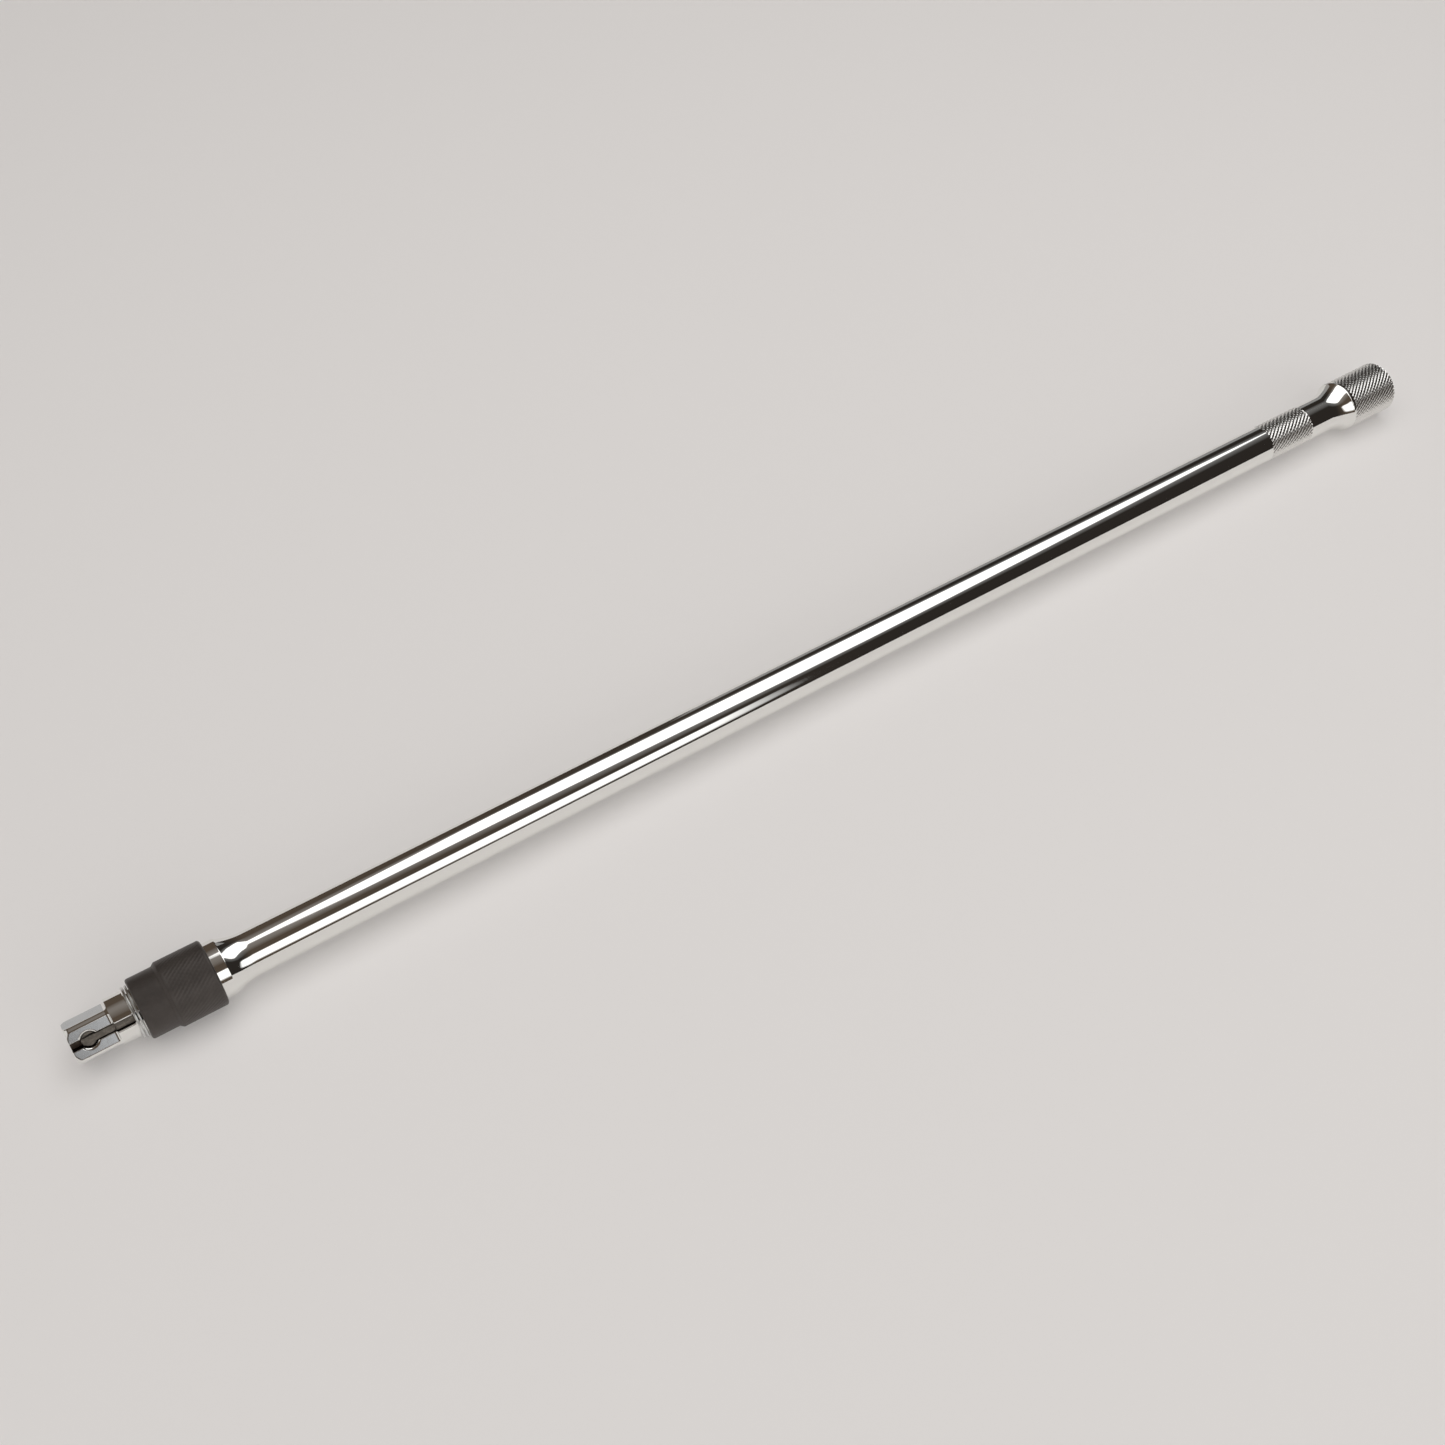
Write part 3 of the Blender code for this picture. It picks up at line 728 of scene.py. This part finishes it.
# a closed sleeve section turned about the axis: smooth front with a short ramp, then a fine
# shallow knurl on the rear, whose radius drops by depth * (1 - knurl height)
def makeReleaseCollar():
    sizes = {
        "front": 23.5, "rear": 50.0, "frontRadius": 10.95, "rearRadius": 11.94,
        "rampStart": 32.8, "rampEnd": 34.0, "frontBore": 8.65, "step": 28.6, "rearBore": 10.55,
        "frontEdge": 0.9, "rearEdge": 1.0, "rampEdge": 0.6, "fade": 0.4,
        "teeth": 48, "samples": 8, "pitchAlong": 2.1, "depth": 0.09, "crest": 0.85,
    }
    s = sizes
    outside = roundedOutline(
        [(s["front"], s["frontBore"] + 0.4), (s["front"], s["frontRadius"]),
         (s["rampStart"], s["frontRadius"]), (s["rampEnd"], s["rearRadius"]),
         (s["rear"], s["rearRadius"]), (s["rear"], s["rearBore"] + 0.3)],
        [0, s["frontEdge"], s["rampEdge"], s["rampEdge"], s["rearEdge"], 0], 8, closed=False,
    )
    flatStart = s["rampEnd"] + 0.6
    flatEnd = s["rear"] - s["rearEdge"]
    before = outside[outside[:, 0] < flatStart]
    after = outside[outside[:, 0] > flatEnd]
    knurlAlong = steps(flatStart, flatEnd, 57)
    knurlRows = np.stack([knurlAlong, np.full_like(knurlAlong, s["rearRadius"])], 1)
    bore = np.array([
        (s["rear"] - 0.3, s["rearBore"]), (s["step"], s["rearBore"]),
        (s["step"], s["frontBore"]), (s["front"] + 0.4, s["frontBore"]),
    ])
    profile = np.concatenate([before, knurlRows, after, bore])
    columns = s["teeth"] * s["samples"]
    angle = steps(0, 2 * math.pi, columns + 1)[None, :-1]
    along = profile[:, :1]
    height = knurlHeight(along - flatStart, angle, s["teeth"], s["pitchAlong"], s["crest"])
    onKnurl = (profile[:, 1:2] > s["rearRadius"] - 1e-6)
    window = np.clip(np.minimum(along - flatStart, flatEnd - along) / s["fade"], 0, 1) * onKnurl
    radius = profile[:, 1:2] - s["depth"] * window * (1 - height)
    grid = np.stack([along + 0 * angle, radius * np.sin(angle), radius * np.cos(angle)], -1) * mm
    collar = meshFromGrid("release_collar_sleeve", grid, phosphate, closedRows=True, sharpAngle=50)
    place(collar, "collar", "release_collar")


makeReleaseCollar()
print("collar done")


# the side outline stacked across the bar's width; the outer rows step in along the outline's
# normals by edge * (1 - cos), which rounds the long edges
def makeActuatorBar():
    sizes = {
        "half": 1.15, "edge": 0.16, "bottom": 3.3, "tip": 3.85, "tipThickness": 0.7,
        "lowTop": 5.9, "highTop": 6.9, "step": 14.5, "tabStart": 28.9, "tabEnd": 30.5,
        "tabTop": 10.1, "ratio": 0.36,
    }
    s = sizes
    tongue = s["lowTop"] - s["tipThickness"]
    rampEnd = s["tip"] + (tongue - s["bottom"]) / s["ratio"]
    outline = roundedOutline(
        [(s["tip"], tongue), (rampEnd, s["bottom"]), (s["tabEnd"], s["bottom"]),
         (s["tabEnd"], s["tabTop"]), (s["tabStart"], s["tabTop"]), (s["tabStart"], s["highTop"]),
         (s["step"] + 0.6, s["highTop"]), (s["step"], s["lowTop"]), (s["tip"], s["lowTop"])],
        [0.12, 0.5, 0.2, 0.3, 0.3, 0.15, 0.3, 0.2, 0.3], 6, closed=True,
    )
    tangent = np.roll(outline, -1, 0) - np.roll(outline, 1, 0)
    tangent = tangent / np.linalg.norm(tangent, axis=1, keepdims=True)
    inward = np.stack([-tangent[:, 1], tangent[:, 0]], 1)
    sweep = steps(0, math.pi / 2, 5)
    across = np.concatenate([
        -s["half"] + s["edge"] * (1 - np.cos(sweep)),
        s["half"] - s["edge"] * (1 - np.cos(sweep[::-1])),
    ])
    inset = np.concatenate([s["edge"] * (1 - np.sin(sweep)), s["edge"] * (1 - np.sin(sweep[::-1]))])
    flat = outline[None] + inward[None] * inset[:, None, None]
    along, out = flat[..., 0], flat[..., 1]
    grid = fromDrive(along * mm, (across[:, None] + 0 * along) * mm, out * mm)
    bar = meshFromGrid("actuator_strip", grid, blackOxide)
    place(bar, "actuator", "actuator_bar")


# a turned pin with a domed nose, then a sloping slot across its head for the actuator bar
def makeLockPin():
    sizes = {
        "radius": 2.6, "nose": 2.3, "top": 4.6, "shoulder": -3.9,
        "end": -7.85, "edge": 0.35, "half": 1.45, "floorAtTip": 4.9, "tip": 3.85, "ratio": 0.36,
    }
    s = sizes
    dome = steps(math.pi / 2, 0.03, 14)
    profile = np.concatenate([
        np.array([[s["top"], 0.02], [s["top"], s["radius"] - s["edge"]]]),
        np.stack([s["top"] - s["edge"] * (1 - np.cos(steps(0.3, math.pi / 2, 5))),
                  s["radius"] - s["edge"] * (1 - np.sin(steps(0.3, math.pi / 2, 5)))], 1),
        np.array([[s["shoulder"], s["radius"]], [s["shoulder"], s["nose"]]]),
        np.stack([s["end"] + s["nose"] * (1 - np.cos(dome)), s["nose"] * np.sin(dome)], 1),
    ])
    angle = steps(0, 2 * math.pi, 97)[:-1]
    radius = profile[:, 1:2]
    grid = fromDrive(
        (pinStation + radius * np.cos(angle)) * mm, radius * np.sin(angle) * mm,
        (profile[:, :1] + 0 * angle) * mm,
    )
    pin = meshFromGrid("lock_pin_forked", grid, blackOxide)
    corner = np.array([(-4, 0), (14, 0), (14, 9), (-4, 9)], float)
    lean = -math.atan(s["ratio"])
    slotX = s["tip"] + corner[:, 0] * math.cos(lean) - corner[:, 1] * math.sin(lean)
    slotU = s["floorAtTip"] + corner[:, 0] * math.sin(lean) + corner[:, 1] * math.cos(lean)
    across = np.array([-s["half"], s["half"]])[:, None]
    slotGrid = fromDrive(
        (slotX[None] + 0 * across) * mm, (across + 0 * slotX) * mm, (slotU[None] + 0 * across) * mm
    )
    subtract(pin, meshFromGrid("pin_slot_cutter", slotGrid, blackOxide))
    place(pin, "lock_pin", "lock_pin")


makeActuatorBar()
makeLockPin()
print("actuator bar and pin done")


# a round wire carried along a helix whose rise slows at both ends: each ring of the wire lies
# in the plane across the path
def makeCollarSpring():
    sizes = {"wire": 1.3, "mean": 9.4, "turns": 5.5, "endTurns": 0.75, "start": 32.55, "end": 43.55}
    s = sizes
    turn = steps(0, s["turns"], 420)
    closedRise = s["endTurns"] * s["wire"] * 1.1
    openTurns = s["turns"] - 2 * s["endTurns"]
    openRise = s["end"] - s["start"] - 2 * closedRise
    front = np.minimum(turn, s["endTurns"]) / s["endTurns"]
    middle = np.clip(turn - s["endTurns"], 0, openTurns) / openTurns
    rear = np.clip(turn - s["endTurns"] - openTurns, 0, None) / s["endTurns"]
    along = s["start"] + closedRise * (front + rear) + openRise * middle
    angle = 2 * math.pi * turn
    path = np.stack([along, s["mean"] * np.cos(angle), s["mean"] * np.sin(angle)], 1)
    tangent = np.gradient(path, axis=0)
    tangent = tangent / np.linalg.norm(tangent, axis=1, keepdims=True)
    outward = np.stack([0 * angle, np.cos(angle), np.sin(angle)], 1)
    side = np.cross(tangent, outward)
    around = steps(0, 2 * math.pi, 25)[None, :-1, None]
    ring = np.cos(around) * outward[:, None] + np.sin(around) * side[:, None]
    grid = (path[:, None] + s["wire"] / 2 * ring) * mm
    spring = meshFromGrid("collar_spring_coil", grid, springSteel)
    place(spring, "extension_bar", "collar_spring")
    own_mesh(spring)


makeCollarSpring()
print("spring done")


# a flat clear panel from corner points, glowing inside its outline and fading to nothing over
# the soft distance across it, along each corner's outward normal (in the panel's own plane)
def makePanel(name, corners, strength, soft, reach):
    outline = np.asarray(corners, float)
    sides = np.roll(outline, -1, 0) - outline
    facing = np.cross(outline, np.roll(outline, -1, 0)).sum(0)
    facing = facing - np.cross(outline.mean(0), sides).sum(0)
    facing = facing / np.linalg.norm(facing)
    normals = np.cross(sides, facing)
    normals = normals / np.linalg.norm(normals, axis=1, keepdims=True)
    push = normals + np.roll(normals, 1, 0)
    push = push / np.linalg.norm(push, axis=1, keepdims=True)
    inner = outline - push * soft[0]
    points = np.concatenate([inner, outline + push * soft[1]])
    count = len(inner)
    ring = np.arange(count)
    after = (ring + 1) % count
    quads = np.stack([ring, after, after + count, ring + count], 1)
    mesh = bpy.data.meshes.new(name)
    mesh.from_pydata(points.tolist(), [], [ring.tolist()] + quads.tolist())
    glow = mesh.attributes.new("glow", "FLOAT", "POINT")
    glow.data.foreach_set("value", np.repeat([1.0, 0.0], count))
    material = bpy.data.materials.new(name + "_glow")
    material.use_nodes = True
    tree = material.node_tree
    tree.nodes.clear()
    share = addNode(tree, "ShaderNodeAttribute", {"attribute_name": "glow"})
    power = addNode(
        tree, "ShaderNodeMath", {"operation": "MULTIPLY"}, i0=(share, "Fac"), i1=strength
    )
    light = addNode(tree, "ShaderNodeEmission", Strength=(power, "Value"))
    clear = addNode(tree, "ShaderNodeBsdfTransparent")
    both = addNode(tree, "ShaderNodeAddShader", i0=(light, 0), i1=(clear, 0))
    addNode(tree, "ShaderNodeOutputMaterial", Surface=(both, 0))
    mesh.materials.append(material)
    panel = bpy.data.objects.new(name, mesh)
    bpy.context.scene.collection.objects.link(panel)
    panel.visible_camera = False
    panel.visible_glossy = reach != "diffuse"
    panel.visible_diffuse = reach != "glossy"


studio = {
    "overheadPower": 1.25,
    "overheadSpill": 0.16,
    "frontPower": 1.35,
    "backPower": 0.26,
    "leftPower": 0.6,
    "keyPower": 0.45,        # what the soft boxes throw on matt things
    "fillPower": 1.1,
    "lowFillPower": 1.3,
    "roomLeft": "#54493f",   # the dark room as the chrome shows it, towards the drive end
    "roomRight": "#2c2825",  # and towards the female end
    "paper": "#d9d6d4",
    "paperFillGlow": 0.15,       # painted fill light: the paper glows evenly to lighten the shadows round the bar
}


def makeStudio():
    overhead = [
        (120, 255), (144, 175), (179, 139), (213, 42), (249, -46), (324, -78), (400, -98),
        (482, -152), (567, -206), (660, -280), (760, -357), (862, -397), (952, -347),
        (1038, -261), (1126, -143), (1225, -2), (1282, 68), (1343, 130), (1460, 290),
        (1391, 373), (1351, 434), (1303, 466), (1210, 531), (1117, 589), (1027, 650),
        (947, 741), (857, 797), (761, 826), (678, 902), (591, 968), (498, 1003), (447, 986),
        (381, 841), (328, 755), (280, 688), (234, 613), (191, 543), (151, 476), (110, 420),
    ]
    front = [
        (30, 300), (60, 280), (145, 244), (180, 225), (252, 203), (326, 180), (403, 180),
        (484, 196), (567, 207), (611, 225), (655, 300), (750, 774), (709, 817), (666, 845),
        (568, 847), (474, 850), (384, 862), (297, 877), (216, 930), (170, 930), (90, 930),
        (40, 900),
    ]
    back = [(0.80, 1.5, -0.012), (2.6, 1.5, -0.012), (2.6, 1.5, 0.85), (0.80, 1.5, 0.5)]
    left = [(-1.0, -0.9, 0.0), (-1.0, 0.8, 0.0), (-1.0, 0.8, 0.7), (-1.0, -0.9, 0.7)]
    fill = [(-2.2, -2.8, 2.4), (2.0, -2.8, 2.4), (2.0, 1.4, 2.4), (-2.2, 1.4, 2.4)]
    low = [(-2.0, -2.6, 0.05), (2.6, -2.6, 0.05), (2.6, -2.6, 1.9), (-2.0, -2.6, 1.9)]
    above = [(x * mm, y * mm, 1.0) for x, y in overhead]
    makePanel("overhead_softbox", above, studio["overheadPower"], (0.012, 0.03), "glossy")
    spill = [(x, y, 1.01) for x, y, z in above]
    makePanel("overhead_spill", spill, studio["overheadSpill"], (0.0, 0.42), "glossy")
    forward = [(x * mm, -1.0, z * mm) for x, z in front]
    makePanel("front_softbox", forward, studio["frontPower"], (0.03, 0.10), "glossy")
    makePanel("back_card", back, studio["backPower"], (0.01, 0.02), "glossy")
    makePanel("left_card", left, studio["leftPower"], (0.02, 0.1), "glossy")
    key = [(x, y, 1.02) for x, y, z in above]
    makePanel("key_light", key, studio["keyPower"], (0.0, 0.1), "diffuse")
    makePanel("fill_light", fill, studio["fillPower"], (0.1, 0.1), "diffuse")
    makePanel("low_fill_light", low, studio["lowFillPower"], (0.1, 0.1), "diffuse")


# a table top as a fine flat grid, a hair below the bar, tilted so that it touches both ends
def makeFloor():
    sizes = {
        "low": (-1.2, -0.37), "high": (2.4, 1.7), "columns": 40,    # metres
        "collarRadius": 11.94, "endRadius": 11.18, "gap": 0.02,    # millimetres
        "collarStation": 49.4, "rimStation": 609.6,
    }
    x = steps(sizes["low"][0], sizes["high"][0], sizes["columns"])
    y = steps(sizes["low"][1], sizes["high"][1], sizes["columns"])
    gridX, gridY = np.meshgrid(x, y)
    drop = sizes["collarRadius"] - sizes["endRadius"]
    slope = drop / (sizes["rimStation"] - sizes["collarStation"])
    lowest = -(sizes["collarRadius"] + sizes["gap"]) * mm
    level = lowest + (gridX - sizes["collarStation"] * mm) * slope
    points = np.stack([gridX, gridY, level], -1).reshape(-1, 3)
    count = sizes["columns"]
    index = np.arange(count * count).reshape(count, count)
    quads = np.stack([index[:-1, :-1], index[:-1, 1:], index[1:, 1:], index[1:, :-1]], -1)
    quads = quads.reshape(-1, 4)
    mesh = bpy.data.meshes.new("paper_floor")
    mesh.from_pydata(points.tolist(), [], quads.tolist())
    # the paper's emission is painted fill light, an even glow that lifts the shadows under the bar
    # and their reflection in the chrome
    paper = newMaterial(
        "matt_studio_paper", Base_Color=linearColour(studio["paper"]), Roughness=0.85,
        Specular_IOR_Level=0.2, Emission_Color=linearColour("#fffdfb"),
        Emission_Strength=studio["paperFillGlow"],
    )[0]
    mesh.materials.append(paper)
    floor = bpy.data.objects.new("paper_floor", mesh)
    bpy.context.scene.collection.objects.link(floor)


# the sky is a dark room for light and reflections, and pale where the camera looks past the floor
def makeWorld():
    world = bpy.data.worlds.new("dark_studio")
    bpy.context.scene.world = world
    world.use_nodes = True
    tree = world.node_tree
    tree.nodes.clear()
    coords = addNode(tree, "ShaderNodeTexCoord")
    split = addNode(tree, "ShaderNodeSeparateXYZ", Vector=(coords, "Generated"))
    side = addNode(
        tree, "ShaderNodeMapRange", {"interpolation_type": "SMOOTHSTEP"}, Value=(split, "X"),
        From_Min=0.0, From_Max=0.5, To_Min=0.0, To_Max=1.0,
    )
    tone = addNode(
        tree, "ShaderNodeMix", {"data_type": "RGBA"}, Factor=(side, "Result"),
        i6=linearColour(studio["roomLeft"]), i7=linearColour(studio["roomRight"]),
    )
    room = addNode(tree, "ShaderNodeBackground", Color=(tone, 2), Strength=1.0)
    pale = addNode(tree, "ShaderNodeBackground", Color=linearColour("#cbc4bf"), Strength=1.0)
    path = addNode(tree, "ShaderNodeLightPath")
    both = addNode(
        tree, "ShaderNodeMixShader", i0=(path, "Is Camera Ray"), i1=(room, 0), i2=(pale, 0)
    )
    addNode(tree, "ShaderNodeOutputWorld", Surface=(both, 0))


def makeCamera():
    view = {
        "sensor": 36, "lens": 42.8445,    # millimetres
        "place": (0.018521, -0.354407, 0.491421), "tilt": 40.6843, "turn": -33.6886,
    }
    data = bpy.data.cameras.new("studio_camera")
    data.sensor_width = view["sensor"]
    data.sensor_fit = "HORIZONTAL"
    data.lens = view["lens"]
    data.clip_start, data.clip_end = 0.01, 50
    camera = bpy.data.objects.new("studio_camera", data)
    bpy.context.scene.collection.objects.link(camera)
    camera.location = view["place"]
    camera.rotation_euler = (math.radians(view["tilt"]), 0, math.radians(view["turn"]))
    bpy.context.scene.camera = camera


makeStudio()
makeFloor()
makeWorld()
makeCamera()
bpy.context.scene.view_settings.view_transform = "Standard"
print("studio done")
